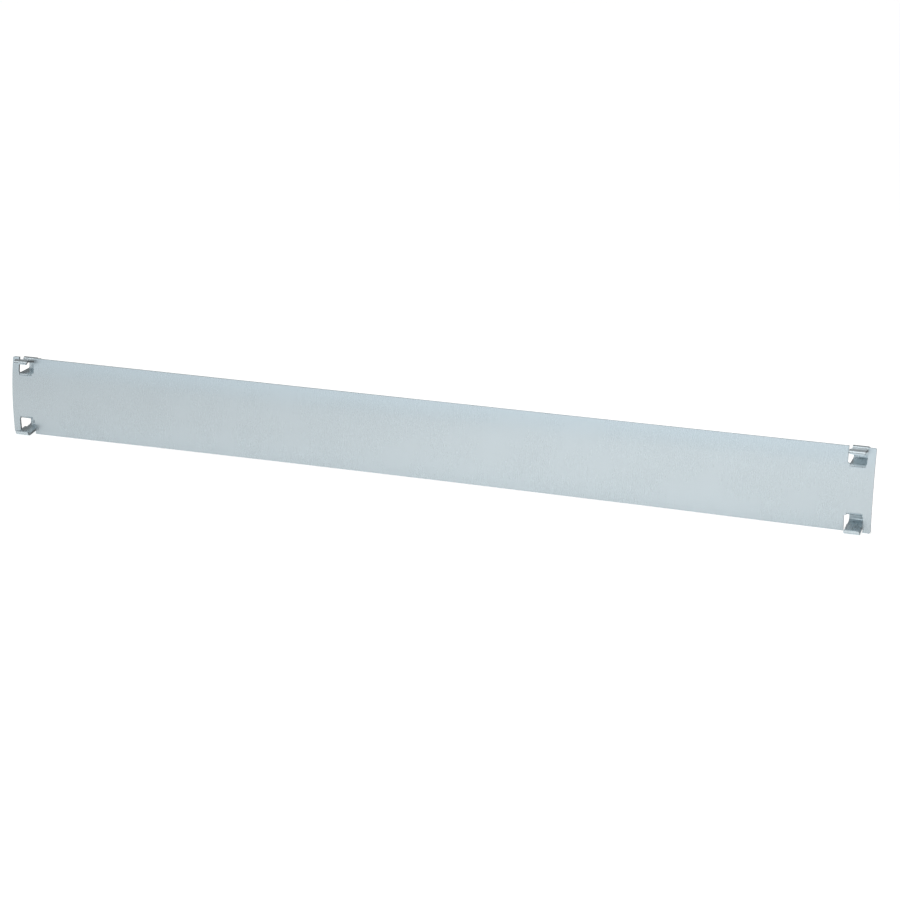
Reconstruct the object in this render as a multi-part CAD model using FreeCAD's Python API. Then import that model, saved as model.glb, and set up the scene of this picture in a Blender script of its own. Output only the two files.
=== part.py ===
import FreeCAD, Part
import math
import os
from FreeCAD import Vector

# Rack blanking panel, one rack unit high, for 19 inch racks. It is one piece of bent sheet metal.
# Four spring clips are bent out of it and snap into square rack holes without tools.
#
# Millimetres. X runs along the panel, +Y points into the rack and +Z is up. The origin is midway
# along the panel, at half its height, in the plane of the rack's rails, which the panel's long
# edges press on. -Y is the room side, where the panel bulges and the finger tabs stand out.

# --- the sheet ---
PANEL_LENGTH = 482.6        # 19 inches, over the two ends
PANEL_HEIGHT = 43.6         # one rack unit, less the gap to the next panel
SHEET = 1.2                 # thickness of the metal
CROWN = 1.8                 # how far the face bulges toward the room at half its height
EDGE_ARCH = 1.0             # how far the lower edge arches up at the middle of its length
CORNER_RADIUS = 0.8         # the panel's four outer corners

# --- the notches that the clips stand in ---
NOTCH_WIDTH = 9.5           # as wide as a square rack hole
NOTCH_DEPTH = 8.5           # from the panel's long edge to the clip's root
NOTCH_FROM_END = 4.0        # the strip left outside the notch, next to the panel's end
NOTCH_RADIUS = 0.5          # inside corners of the notch

# --- the spring clips, each bent from the sheet itself ---
CLIP_WIDTH = 8.0
CLIP_FROM_END = 8.4         # from the panel's end to the middle of the clip
CLIP_REACH = 9.9            # from the rail plane back to the clip's rear wall
ROOT_CLIMB = 4.0            # degrees that the root web climbs on its way to the rear wall
REAR_WALL_TOP = 2.4         # depth below the long edge where the rear wall turns forward
RUN_RISE = 0.3              # how much the strip climbs from the rear wall to the foot of the catch
CATCH_BACK = 2.2            # from the crest of the catch back to its foot
CATCH_REACH = 3.4           # from the rail plane back to the crest of the catch
CATCH_TOP = 0.0             # depth of the crest below the long edge
CATCH_DROP = 1.9            # height of the step that holds behind the rail
CATCH_SLOPE = 0.8           # how far forward that step runs over its height
TAB_REACH = 7.2             # from the rail plane forward to the finger tab's bend
TAB_FLARE = 1.9             # how much the strip climbs from the catch to the tab's bend
LIP_DROP = 2.0              # how far the lip turns back from the tab's bend
LIP_LEAN = 0.5              # how far the lip leans forward as it turns back
BEND_RADIUS = 0.8           # inside radius of the root bend and of the bend below the rear wall
WALL_RADIUS = 1.5           # inside radius of the bend above the rear wall
LIP_RADIUS = 1.0            # inside radius of the curl at the front of the finger tab
CATCH_RADIUS = 0.3          # inside radius of the three tight bends at the catch
LIP_CORNER = 1.0            # rounding of the lip's two free corners

# --- worked out from the sizes above ---
HALF_LENGTH = PANEL_LENGTH / 2
HALF_HEIGHT = PANEL_HEIGHT / 2
HALF_SHEET = SHEET / 2
BACK_RADIUS = (HALF_HEIGHT ** 2 + CROWN ** 2) / (2 * CROWN)
ROOT_START = HALF_HEIGHT - NOTCH_DEPTH - SHEET - BEND_RADIUS    # height at which the root bend starts
ROOT_LEAN = math.asin(ROOT_START / (BACK_RADIUS + HALF_SHEET))  # the sheet's angle from upright there
MILL = CLIP_REACH + TAB_REACH + PANEL_HEIGHT    # deeper than the whole panel, for cutting bodies


def round_upright_edges(block, radius):
    """Round the edges of the block that run along Y, straight through the sheet."""
    chosen = []
    for edge in block.Edges:
        if isinstance(edge.Curve, Part.Line) and abs(edge.Curve.Direction.y) > 0.999:
            chosen.append(edge)
    return block.makeFillet(radius, chosen)


def panel_surface(inset, z):
    """Y of the crowned sheet at height z, inset in front of its rear face."""
    centre_y = BACK_RADIUS - CROWN
    return centre_y - math.sqrt((BACK_RADIUS + inset) ** 2 - z ** 2)


def crowned_bar():
    """The crowned section of the sheet, run over the panel's length."""
    points = {}
    for name, inset in (("rear", 0), ("front", SHEET)):
        for z in (-HALF_HEIGHT, 0, HALF_HEIGHT):
            points[name, z] = Vector(-HALF_LENGTH, panel_surface(inset, z), z)
    arcs = []
    for name in ("rear", "front"):
        bottom = points[name, -HALF_HEIGHT]
        top = points[name, HALF_HEIGHT]
        arcs.append(Part.Arc(bottom, points[name, 0], top).toShape())
    for z in (-HALF_HEIGHT, HALF_HEIGHT):
        arcs.append(Part.makeLine(points["rear", z], points["front", z]))
    section = Part.Face(Part.Wire(Part.__sortEdges__(arcs)))
    return section.extrude(Vector(PANEL_LENGTH, 0, 0))


def front_outline():
    """The panel's front view as a thick block: rounded corners and the arched lower edge."""
    low = -HALF_HEIGHT
    corners = [
        Vector(-HALF_LENGTH, -MILL, low),
        Vector(-HALF_LENGTH, -MILL, HALF_HEIGHT),
        Vector(HALF_LENGTH, -MILL, HALF_HEIGHT),
        Vector(HALF_LENGTH, -MILL, low),
    ]
    edges = [Part.makeLine(corners[i], corners[i + 1]) for i in range(3)]
    crest = Vector(0, -MILL, low + EDGE_ARCH)
    edges.append(Part.Arc(corners[3], crest, corners[0]).toShape())
    block = Part.Face(Part.Wire(edges)).extrude(Vector(0, 2 * MILL, 0))
    return round_upright_edges(block, CORNER_RADIUS)


def notch():
    """What is cut away for the upper left clip: the notch, and the piece that the strip is bent from."""
    left = -HALF_LENGTH + NOTCH_FROM_END
    low = HALF_HEIGHT - NOTCH_DEPTH
    block = Part.makeBox(NOTCH_WIDTH, 2 * MILL, 2 * NOTCH_DEPTH, Vector(left, -MILL, low))
    block = round_upright_edges(block, NOTCH_RADIUS)
    left = -HALF_LENGTH + CLIP_FROM_END - CLIP_WIDTH / 2
    start = Vector(left, panel_surface(HALF_SHEET, ROOT_START), ROOT_START)
    through = Vector(0, -math.cos(ROOT_LEAN), math.sin(ROOT_LEAN)) * MILL
    up = Vector(0, 0, MILL)
    corners = [start - through, start + through, start + through + up, start - through + up]
    piece = Part.Face(Part.makePolygon(corners + corners[:1])).extrude(Vector(CLIP_WIDTH, 0, 0))
    return block.fuse(piece)


def clip_path():
    """Middle line of the clip's strip, from the start of its root bend to the end of the lip."""
    top = HALF_HEIGHT
    climb = math.radians(ROOT_CLIMB)
    root_leg = (BEND_RADIUS + HALF_SHEET) * math.tan((math.pi / 2 - ROOT_LEAN - climb) / 2)
    start_y = panel_surface(HALF_SHEET, ROOT_START)
    root_y = start_y + root_leg * math.sin(ROOT_LEAN)
    root_z = ROOT_START + root_leg * math.cos(ROOT_LEAN)
    rear_y = CLIP_REACH - HALF_SHEET
    crest_z = top - CATCH_TOP - HALF_SHEET
    step_y = CATCH_REACH - CATCH_SLOPE
    step_z = crest_z - CATCH_DROP
    tab_z = step_z + TAB_FLARE
    points = [
        (start_y, ROOT_START, None),
        (root_y, root_z, BEND_RADIUS),
        (rear_y, root_z + (rear_y - root_y) * math.tan(climb), BEND_RADIUS),
        (rear_y, top - REAR_WALL_TOP, WALL_RADIUS),
        (CATCH_REACH + CATCH_BACK, top - REAR_WALL_TOP + RUN_RISE, CATCH_RADIUS),
        (CATCH_REACH, crest_z, CATCH_RADIUS),
        (step_y, step_z, CATCH_RADIUS),
        (-TAB_REACH, tab_z, LIP_RADIUS),
        (-TAB_REACH - LIP_LEAN, tab_z - LIP_DROP, None),
    ]
    path = [Vector(0, y, z) for y, z, radius in points]
    bends = [radius for y, z, radius in points[1:-1]]
    return path, bends


def strip_side(path, bends, side):
    """Edges of one face of the strip, whose side is 1 or -1. Each bend is concentric with it."""
    across = Vector(side, 0, 0)
    last_run = (path[-1] - path[-2]).normalize()
    edges = []
    start = None
    for i, inside_radius in enumerate(bends, start=1):
        before = (path[i - 1] - path[i]).normalize()
        after = (path[i + 1] - path[i]).normalize()
        inward = (before + after).normalize()
        half_angle = before.getAngle(after) / 2
        is_inside = across.cross(after).dot(inward) > 0
        radius = inside_radius if is_inside else inside_radius + SHEET
        shift = HALF_SHEET if is_inside else -HALF_SHEET
        corner = path[i] + inward * (shift / math.sin(half_angle))
        leg = radius / math.tan(half_angle)
        first = corner + before * leg
        last = corner + after * leg
        middle = corner + inward * (radius / math.sin(half_angle) - radius)
        if start:
            edges.append(Part.makeLine(start, first))
        edges.append(Part.Arc(first, middle, last).toShape())
        start = last
    edges.append(Part.makeLine(start, path[-1] + across.cross(last_run) * HALF_SHEET))
    return edges


def clip():
    """The upper left spring clip, with the free corners of its lip rounded."""
    path, bends = clip_path()
    outer = strip_side(path, bends, 1)
    inner = strip_side(path, bends, -1)
    root_end = Part.makeLine(outer[0].Vertexes[0].Point, inner[0].Vertexes[0].Point)
    lip_end = Part.makeLine(outer[-1].Vertexes[-1].Point, inner[-1].Vertexes[-1].Point)
    outline = Part.Wire(Part.__sortEdges__(outer + inner + [root_end, lip_end]))
    strip = Part.Face(outline).extrude(Vector(CLIP_WIDTH, 0, 0))
    strip = strip.makeFillet(LIP_CORNER, edges_beside(strip, path[-1]))
    strip.translate(Vector(-HALF_LENGTH + CLIP_FROM_END - CLIP_WIDTH / 2, 0, 0))
    return strip


def edges_beside(strip, point):
    """The strip's two edges that run through the sheet, level with the point on its middle line."""
    chosen = []
    for edge in strip.Edges:
        offset = edge.CenterOfMass - point
        if math.hypot(offset.y, offset.z) < SHEET / 10 and abs(edge.Length - SHEET) < SHEET / 10:
            chosen.append(edge)
    return chosen


def four_places(solid):
    """The solid at the panel's upper left, and its mirror images at the other three places."""
    upper_right = solid.mirror(Vector(0, 0, 0), Vector(1, 0, 0))
    upper = [solid, upper_right]
    lower = [each.mirror(Vector(0, 0, 0), Vector(0, 0, 1)) for each in upper]
    return upper + lower


def blanking_panel():
    """The finished panel with its four clips, as one solid."""
    sheet = crowned_bar().common(front_outline())
    sheet = sheet.cut(four_places(notch()))
    return sheet.fuse(four_places(clip())).removeSplitter()


os.makedirs("parts", exist_ok=True)
panel = blanking_panel()
panel.exportStep("parts/blanking_panel.step")
print("blanking_panel", len(panel.Solids), "solid,", round(panel.Volume), "mm3,",
      "valid" if panel.isValid() else "not valid", panel.BoundBox)
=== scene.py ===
"""Looks of the rack blanking panel: one bent metal sheet with four spring clips, on a white studio floor."""
import math

import bpy
from mathutils import Euler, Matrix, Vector


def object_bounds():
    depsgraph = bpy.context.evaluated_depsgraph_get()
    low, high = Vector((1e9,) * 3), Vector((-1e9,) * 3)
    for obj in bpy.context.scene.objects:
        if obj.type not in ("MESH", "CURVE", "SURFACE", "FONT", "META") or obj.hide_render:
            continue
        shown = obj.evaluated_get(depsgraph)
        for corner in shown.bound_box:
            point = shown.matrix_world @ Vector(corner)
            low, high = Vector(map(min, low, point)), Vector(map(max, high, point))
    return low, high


MM = 0.001

# --- the camera, from the photograph's perspective ---
LENS = 85.8                     # mm
SENSOR_WIDTH = 36               # mm
NEAREST_SEEN = 10 * MM          # the camera shows nothing that is nearer than this
VIEW_AZIMUTH = 19.34            # degrees, from looking along +Y towards -X
VIEW_ELEVATION = 14.70          # degrees above the horizon
VIEW_ROLL = 1.44                # degrees, clockwise as the camera sees it
VIEW_DISTANCE = 1127 * MM       # from the camera to the point that it aims at
AIM = Vector((20.0, -1.2, -3.5)) * MM

# --- the stage ---
FLOOR_SIZE = 12.0               # metres
FLOOR_COLOR = (0.805, 0.800, 0.785, 1)
FLOOR_LIFT = 0.70               # what the floor glows where it is seen, so that it reads as white
FLOOR_MIRRORED = 0.46           # what it glows where metal mirrors it
BACKGROUND_WHITE = 1.0          # the surroundings where they are seen
SKY_LIGHT = 0.385               # the surroundings as matt surfaces are lit by them
# The lamps: the name, the place and the target in metres, the two sides in metres, and the power in watts.
LAMPS = (("top_lamp", (-0.10, -0.30, 1.60), (-0.10, -0.30, 0.00), (1.20, 1.20), 2.3),
         ("strip_lamp", (0.11, -0.50, 0.36), (0.11, -0.50, 0.00), (0.18, 1.30), 1.4))

# --- the room that metal mirrors above the floor ---
DAYLIGHT = (0.93, 1.00, 1.04)   # the tint of the room's front
PLAIN = (1.00, 1.00, 1.00)      # the tint of the rest
# The room goes from the front horizon (0), over the top (0.5), to the back horizon (1). Each place has its
# brightness and its tint.
ROOM = ((0.00, 0.62, DAYLIGHT), (0.06, 0.66, DAYLIGHT), (0.10, 0.54, DAYLIGHT), (0.14, 0.12, PLAIN),
        (0.22, 0.12, PLAIN), (0.28, 1.00, PLAIN), (0.34, 1.00, PLAIN), (0.41, 0.16, PLAIN),
        (0.62, 0.12, PLAIN), (0.90, 0.10, PLAIN), (0.98, 0.42, PLAIN))
ROOM_LEVEL = 1.87               # the whole room's brightness, as a factor
ROOM_LEFT = 0.62                # how bright the room's left side is, against the rest
LEFT_SIDE = (-0.58, -0.45)      # the X part of a direction, where the left side ends and the rest begins

# --- the metal ---
SHEET_DARK = (0.520, 0.584, 0.624, 1)
SHEET_LIGHT = (0.685, 0.772, 0.812, 1)
CUT_COLOR = (0.25, 0.27, 0.28, 1)
METALLIC = 0.75                 # the rest is the zinc's dull bloom
LONG_EDGE_METALLIC = 0.15       # the panel's long edges are matt
SHEET_ROUGHNESS = 0.28
CUT_ROUGHNESS = 0.70
ANISOTROPY = 0.4                # the grain spreads reflections sideways
SHEET_AXIS = (1, 0.05, 0.05)    # nearly along X, and off it so that it isn't square to the sheared ends
GRAIN_HEIGHT = 0.001 * MM
EDGE_BREAK = 0.15 * MM          # how far the light rolls round the sheet's cut edges
EDGE_SAMPLES = 8                # rays by which the shading finds an edge nearby

# --- noise on the metal ---
# Each has how fast it changes along X, Y and Z, a scale for all three per millimetre, and its octaves.
GRAIN = ((1, 0.04, 0.04), 4.5, 3)
STREAKS = ((1, 0.03, 0.03), 1.1, 2)
CLOUDS = ((1, 1, 1), 0.035, 3)
HAIRLINES = ((0.02, 0.6, 1), 5.0, 1)
HAIRLINE_FROM = 0.68            # a hairline starts to show where its noise is above this
HAIRLINE_FULL = 0.78

# --- how light the zinc is, with painted light on the clips: 0 is SHEET_DARK and 1 is SHEET_LIGHT ---
FACE_TONE = 0.45
# The clips' tone is set well above the face's: painted light that brightens their shaded bends, tabs and
# lips.
CLIP_TONE_WITH_PAINTED_LIGHT = 0.85
FACE_STREAK_SWING = 0.05        # a swing is how much the tone changes while the noise goes from 0 to 1
CLIP_STREAK_SWING = 1.05
CLOUD_SWING = 0.40
GRAIN_SWING = 0.05
HAIRLINE_TONE = 0.10            # what a hairline adds
CLOUD_ROUGHNESS = 0.10          # the swings of the roughness
GRAIN_ROUGHNESS = 0.08

# --- where the finish changes, in millimetres: in from the panel's end, or in from its long edge ---
CLIP_OUTER_SIDE = 4.3
CLIP_INNER_SIDE = 12.7
CLIP_SIDE_FADE = 0.4            # a fade is the width over which the finish changes
CLIP_ROOT = 9.3
CLIP_ROOT_FADE = 1.8
NOTCH_OUTER_SIDE = 3.8
NOTCH_INNER_SIDE = 13.8
LONG_EDGE_BAND = 1.4            # the lower edge's arch lies within this
SHEET_DEPTH = 1.4               # the long edges lie this near to the rail plane
EDGE_FADE = 0.2
EDGE_ON = (0.6, 0.9)            # how squarely a face looks along an axis: not an edge yet, and fully an edge


def make_camera():
    """Places the camera on its sight line and rolls it about that line."""
    data = bpy.data.cameras.new("camera")
    data.lens = LENS
    data.sensor_width = SENSOR_WIDTH
    data.clip_start = NEAREST_SEEN
    camera = bpy.data.objects.new("camera", data)
    bpy.context.scene.collection.objects.link(camera)
    azimuth = math.radians(VIEW_AZIMUTH)
    elevation = math.radians(VIEW_ELEVATION)
    toward = Vector((-math.sin(azimuth) * math.cos(elevation),
                     math.cos(azimuth) * math.cos(elevation),
                     -math.sin(elevation)))
    turn = Euler((math.pi / 2 - elevation, 0, azimuth)).to_matrix()
    roll = Euler((0, 0, math.radians(VIEW_ROLL))).to_matrix()
    camera.matrix_world = (turn @ roll).to_4x4()
    camera.location = AIM - toward * VIEW_DISTANCE
    bpy.context.scene.camera = camera


def math_node(tree, operation, *values):
    """The result of a Math node, whose inputs are sockets or numbers."""
    node = tree.nodes.new("ShaderNodeMath")
    node.operation = operation
    for value, socket in zip(values, node.inputs):
        if isinstance(value, (int, float)):
            socket.default_value = value
        else:
            tree.links.new(value, socket)
    return node.outputs[0]


def between(tree, amount, first, second):
    """The first number where the amount is 0 and the second where it is 1."""
    return math_node(tree, "MULTIPLY_ADD", amount, second - first, first)


def ramp_up(tree, value, low, high):
    """0 below low, 1 above high and smooth between them. It falls instead when low is the larger."""
    node = tree.nodes.new("ShaderNodeMapRange")
    node.interpolation_type = "SMOOTHSTEP"
    node.inputs["From Min"].default_value = low
    node.inputs["From Max"].default_value = high
    tree.links.new(value, node.inputs["Value"])
    return node.outputs[0]


def fade(tree, value, middle, width):
    """0 below the middle and 1 above it, smooth over the width. It falls when the width is negative."""
    return ramp_up(tree, value, middle - width / 2, middle + width / 2)


def scaled(tree, vector, factors):
    """The vector with each of its parts times its own factor."""
    node = tree.nodes.new("ShaderNodeVectorMath")
    node.operation = "MULTIPLY"
    node.inputs[1].default_value = factors
    tree.links.new(vector, node.inputs[0])
    return node.outputs[0]


def noise(tree, place, stretch, scale, octaves):
    """Soft noise, mostly from 0.3 to 0.7 and 0.5 on average."""
    node = tree.nodes.new("ShaderNodeTexNoise")
    node.inputs["Scale"].default_value = scale
    node.inputs["Detail"].default_value = octaves
    tree.links.new(scaled(tree, place, stretch), node.inputs["Vector"])
    return node.outputs["Fac"]


def swung(tree, base, layer, swing):
    """The base, plus the swing times how far the noise layer is above its middle, 0.5."""
    return math_node(tree, "MULTIPLY_ADD", math_node(tree, "SUBTRACT", layer, 0.5), swing, base)


def blend(tree, amount, first, second):
    """The first colour where the amount is 0 and the second where it is 1. Each is a socket or a colour."""
    node = tree.nodes.new("ShaderNodeMix")
    node.data_type = "RGBA"
    tree.links.new(amount, node.inputs["Factor"])
    # The Mix node's colours are its inputs 6 and 7 and its output 2. The others are for numbers and vectors.
    for value, socket in ((first, node.inputs[6]), (second, node.inputs[7])):
        if isinstance(value, tuple):
            socket.default_value = value
        else:
            tree.links.new(value, socket)
    return node.outputs[2]


def ray_kinds(tree):
    """Two values: 1 for rays that show a thing to the camera, and 1 for rays that metal mirrors it by."""
    path = tree.nodes.new("ShaderNodeLightPath")
    direct = math_node(tree, "MAXIMUM", path.outputs["Is Camera Ray"], path.outputs["Is Transmission Ray"])
    return direct, path.outputs["Is Glossy Ray"]


def mix_shaders(tree, amount, first, second):
    """The first shader where the amount is 0 and the second where it is 1."""
    node = tree.nodes.new("ShaderNodeMixShader")
    tree.links.new(amount, node.inputs["Fac"])
    tree.links.new(first, node.inputs[1])
    tree.links.new(second, node.inputs[2])
    return node.outputs[0]


def plain_light(tree, strength):
    """White surroundings of one strength."""
    background = tree.nodes.new("ShaderNodeBackground")
    background.inputs["Color"].default_value = (1, 1, 1, 1)
    background.inputs["Strength"].default_value = strength
    return background.outputs[0]


def room_light(tree):
    """The room as metal mirrors it: bands from front to back, and all of it dimmer on the left."""
    background = tree.nodes.new("ShaderNodeBackground")
    direction = tree.nodes.new("ShaderNodeTexCoord")
    split = tree.nodes.new("ShaderNodeSeparateXYZ")
    tree.links.new(direction.outputs["Generated"], split.inputs[0])
    forward = math_node(tree, "MULTIPLY", split.outputs["Y"], -1)
    angle = math_node(tree, "ARCTAN2", split.outputs["Z"], forward)
    bands = tree.nodes.new("ShaderNodeValToRGB")
    bands.color_ramp.interpolation = "EASE"
    stops = bands.color_ramp.elements
    for band in ROOM[1:-1]:
        stops.new(band[0])
    for stop, (place, level, tint) in zip(stops, ROOM):
        stop.position = place
        stop.color = (level * tint[0], level * tint[1], level * tint[2], 1)
    tree.links.new(math_node(tree, "DIVIDE", angle, math.pi), bands.inputs["Fac"])
    tree.links.new(bands.outputs["Color"], background.inputs["Color"])
    right = ramp_up(tree, split.outputs["X"], *LEFT_SIDE)
    strength = between(tree, right, ROOM_LEVEL * ROOM_LEFT, ROOM_LEVEL)
    tree.links.new(strength, background.inputs["Strength"])
    return background.outputs[0]


def make_world():
    """White where it is seen, a plain soft light on matt faces, and a room for metal to mirror."""
    world = bpy.data.worlds.new("studio")
    bpy.context.scene.world = world
    world.use_nodes = True
    tree = world.node_tree
    tree.nodes.clear()
    direct, glossy = ray_kinds(tree)
    lighting = mix_shaders(tree, glossy, plain_light(tree, SKY_LIGHT), room_light(tree))
    surroundings = mix_shaders(tree, direct, lighting, plain_light(tree, BACKGROUND_WHITE))
    out = tree.nodes.new("ShaderNodeOutputWorld")
    tree.links.new(surroundings, out.inputs["Surface"])


def make_floor(height):
    """A wide white floor under the part, which keeps the part's shadow."""
    bpy.ops.mesh.primitive_plane_add(size=FLOOR_SIZE, location=(0, 0, height))
    floor = bpy.context.object
    floor.name = "floor"
    material = bpy.data.materials.new("floor_white")
    material.use_nodes = True
    tree = material.node_tree
    tree.nodes.clear()
    matt = tree.nodes.new("ShaderNodeBsdfDiffuse")
    matt.inputs["Color"].default_value = FLOOR_COLOR
    glow = tree.nodes.new("ShaderNodeEmission")
    direct, glossy = ray_kinds(tree)
    mirrored = math_node(tree, "MULTIPLY", glossy, FLOOR_MIRRORED)
    tree.links.new(math_node(tree, "MULTIPLY_ADD", direct, FLOOR_LIFT, mirrored), glow.inputs["Strength"])
    both = tree.nodes.new("ShaderNodeAddShader")
    tree.links.new(matt.outputs[0], both.inputs[0])
    tree.links.new(glow.outputs[0], both.inputs[1])
    out = tree.nodes.new("ShaderNodeOutputMaterial")
    tree.links.new(both.outputs[0], out.inputs["Surface"])
    floor.data.materials.append(material)


def make_lamp(name, place, target, size, power):
    """A soft lamp that looks at the target and that metal doesn't mirror."""
    data = bpy.data.lights.new(name, "AREA")
    data.shape = "RECTANGLE"
    data.size = size[0]
    data.size_y = size[1]
    data.energy = power
    lamp = bpy.data.objects.new(name, data)
    bpy.context.scene.collection.objects.link(lamp)
    lamp.location = place
    lamp.rotation_euler = (Vector(target) - Vector(place)).to_track_quat("-Z", "Y").to_euler()
    lamp.visible_camera = False
    lamp.visible_glossy = False


def across_grain(tree):
    """The direction in the surface that lies across the grain, which runs over the bends, not along X."""
    surface = tree.nodes.new("ShaderNodeNewGeometry")
    along = tree.nodes.new("ShaderNodeVectorMath")
    along.operation = "CROSS_PRODUCT"
    along.inputs[1].default_value = SHEET_AXIS
    tree.links.new(surface.outputs["Normal"], along.inputs[0])
    across = tree.nodes.new("ShaderNodeVectorMath")
    across.operation = "CROSS_PRODUCT"
    tree.links.new(along.outputs[0], across.inputs[0])
    tree.links.new(surface.outputs["Normal"], across.inputs[1])
    return across.outputs[0]


def clip_zone(tree, away, half_length, half_height):
    """1 on the four bent strips, from their root bends on. Away holds |X|, |Y| and |Z| in millimetres."""
    inner = fade(tree, away["X"], half_length - CLIP_INNER_SIDE, CLIP_SIDE_FADE)
    outer = fade(tree, away["X"], half_length - CLIP_OUTER_SIDE, -CLIP_SIDE_FADE)
    raised = fade(tree, away["Z"], half_height - CLIP_ROOT, CLIP_ROOT_FADE)
    return math_node(tree, "MULTIPLY", math_node(tree, "MULTIPLY", inner, outer), raised)


def edge_zones(tree, normal, away, half_length, half_height):
    """Two values: 1 on the sheared edges that face along X, and 1 on the long edges outside the notches."""
    split = tree.nodes.new("ShaderNodeSeparateXYZ")
    tree.links.new(normal, split.inputs[0])
    ends = ramp_up(tree, math_node(tree, "ABSOLUTE", split.outputs["X"]), *EDGE_ON)
    level = ramp_up(tree, math_node(tree, "ABSOLUTE", split.outputs["Z"]), *EDGE_ON)
    at_edge = fade(tree, away["Z"], half_height - LONG_EDGE_BAND, EDGE_FADE)
    in_sheet = fade(tree, away["Y"], SHEET_DEPTH, -EDGE_FADE)
    between_notches = fade(tree, away["X"], half_length - NOTCH_INNER_SIDE, -EDGE_FADE)
    at_end = fade(tree, away["X"], half_length - NOTCH_OUTER_SIDE, EDGE_FADE)
    clear = math_node(tree, "MAXIMUM", between_notches, at_end)
    long_edge = math_node(tree, "MULTIPLY", math_node(tree, "MULTIPLY", level, at_edge),
                          math_node(tree, "MULTIPLY", in_sheet, clear))
    return ends, long_edge


def zinc_color_with_painted_light(tree, place, clip, grain, clouds):
    """The zinc's colour, with painted light on the clips, whose tone is set lighter than the face's. Each
    layer of noise swings its tone, and the streaks do so most on the clips.
    """
    streaks = noise(tree, place, *STREAKS)
    scratched = ramp_up(tree, noise(tree, place, *HAIRLINES), HAIRLINE_FROM, HAIRLINE_FULL)
    hairlines = math_node(tree, "MULTIPLY", scratched, math_node(tree, "SUBTRACT", 1, clip))
    streak_swing = between(tree, clip, FACE_STREAK_SWING, CLIP_STREAK_SWING)
    # On the clips the tone is raised: painted light on their shaded bends, tabs and lips.
    tone = swung(tree, between(tree, clip, FACE_TONE, CLIP_TONE_WITH_PAINTED_LIGHT), streaks, streak_swing)
    tone = swung(tree, tone, clouds, CLOUD_SWING)
    tone = swung(tree, tone, grain, GRAIN_SWING)
    tone = math_node(tree, "MULTIPLY_ADD", hairlines, HAIRLINE_TONE, tone)
    return blend(tree, tone, SHEET_DARK, SHEET_LIGHT)


def shading_normal(tree, grain):
    """The normal with the grain's relief in it, and with the light rolled round the cut edges."""
    edge = tree.nodes.new("ShaderNodeBevel")
    edge.samples = EDGE_SAMPLES
    edge.inputs["Radius"].default_value = EDGE_BREAK
    relief = tree.nodes.new("ShaderNodeBump")
    relief.inputs["Distance"].default_value = GRAIN_HEIGHT
    tree.links.new(edge.outputs["Normal"], relief.inputs["Normal"])
    tree.links.new(grain, relief.inputs["Height"])
    return relief.outputs["Normal"]


def sheet_metal(half_length, half_height):
    """Satin blue zinc on rolled steel: a fine upright grain, faint clouds, hairlines and sheared edges, and
    painted light that makes the clips lighter.
    """
    material = bpy.data.materials.new("sheet_metal")
    material.use_nodes = True
    tree = material.node_tree
    shader = tree.nodes["Principled BSDF"]

    # The place on the part in millimetres, and how far it is from the part's origin along each axis.
    texture = tree.nodes.new("ShaderNodeTexCoord")
    place = scaled(tree, texture.outputs["Object"], (1 / MM, 1 / MM, 1 / MM))
    split = tree.nodes.new("ShaderNodeSeparateXYZ")
    tree.links.new(place, split.inputs[0])
    away = {axis: math_node(tree, "ABSOLUTE", split.outputs[axis]) for axis in "XYZ"}
    clip = clip_zone(tree, away, half_length, half_height)
    ends, long_edge = edge_zones(tree, texture.outputs["Normal"], away, half_length, half_height)
    cut = math_node(tree, "MAXIMUM", ends, long_edge)

    grain = noise(tree, place, *GRAIN)
    clouds = noise(tree, place, *CLOUDS)
    # This colour holds painted light: the clips' tone is lighter than the face's.
    zinc = zinc_color_with_painted_light(tree, place, clip, grain, clouds)
    rough = swung(tree, between(tree, cut, SHEET_ROUGHNESS, CUT_ROUGHNESS), grain, GRAIN_ROUGHNESS)
    rough = swung(tree, rough, clouds, CLOUD_ROUGHNESS)
    shader.inputs["Anisotropic"].default_value = ANISOTROPY
    tree.links.new(across_grain(tree), shader.inputs["Tangent"])
    tree.links.new(blend(tree, ends, zinc, CUT_COLOR), shader.inputs["Base Color"])
    tree.links.new(between(tree, long_edge, METALLIC, LONG_EDGE_METALLIC), shader.inputs["Metallic"])
    tree.links.new(rough, shader.inputs["Roughness"])
    tree.links.new(shading_normal(tree, grain), shader.inputs["Normal"])
    return material


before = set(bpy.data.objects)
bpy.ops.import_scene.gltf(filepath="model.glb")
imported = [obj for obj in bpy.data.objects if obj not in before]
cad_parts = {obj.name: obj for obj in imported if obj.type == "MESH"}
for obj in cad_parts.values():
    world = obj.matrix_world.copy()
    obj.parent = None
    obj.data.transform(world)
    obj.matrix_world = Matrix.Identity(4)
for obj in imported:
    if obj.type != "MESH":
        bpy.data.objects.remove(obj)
cad_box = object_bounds()
scene = bpy.context.scene
scene.view_settings.view_transform = "Standard"

make_camera()
make_world()
make_floor(cad_box[0][2])
for lamp in LAMPS:
    make_lamp(*lamp)

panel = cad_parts["blanking_panel"]
metal = sheet_metal(cad_box[1][0] / MM, cad_box[1][2] / MM)
for entry in panel.material_slots:
    entry.material = metal
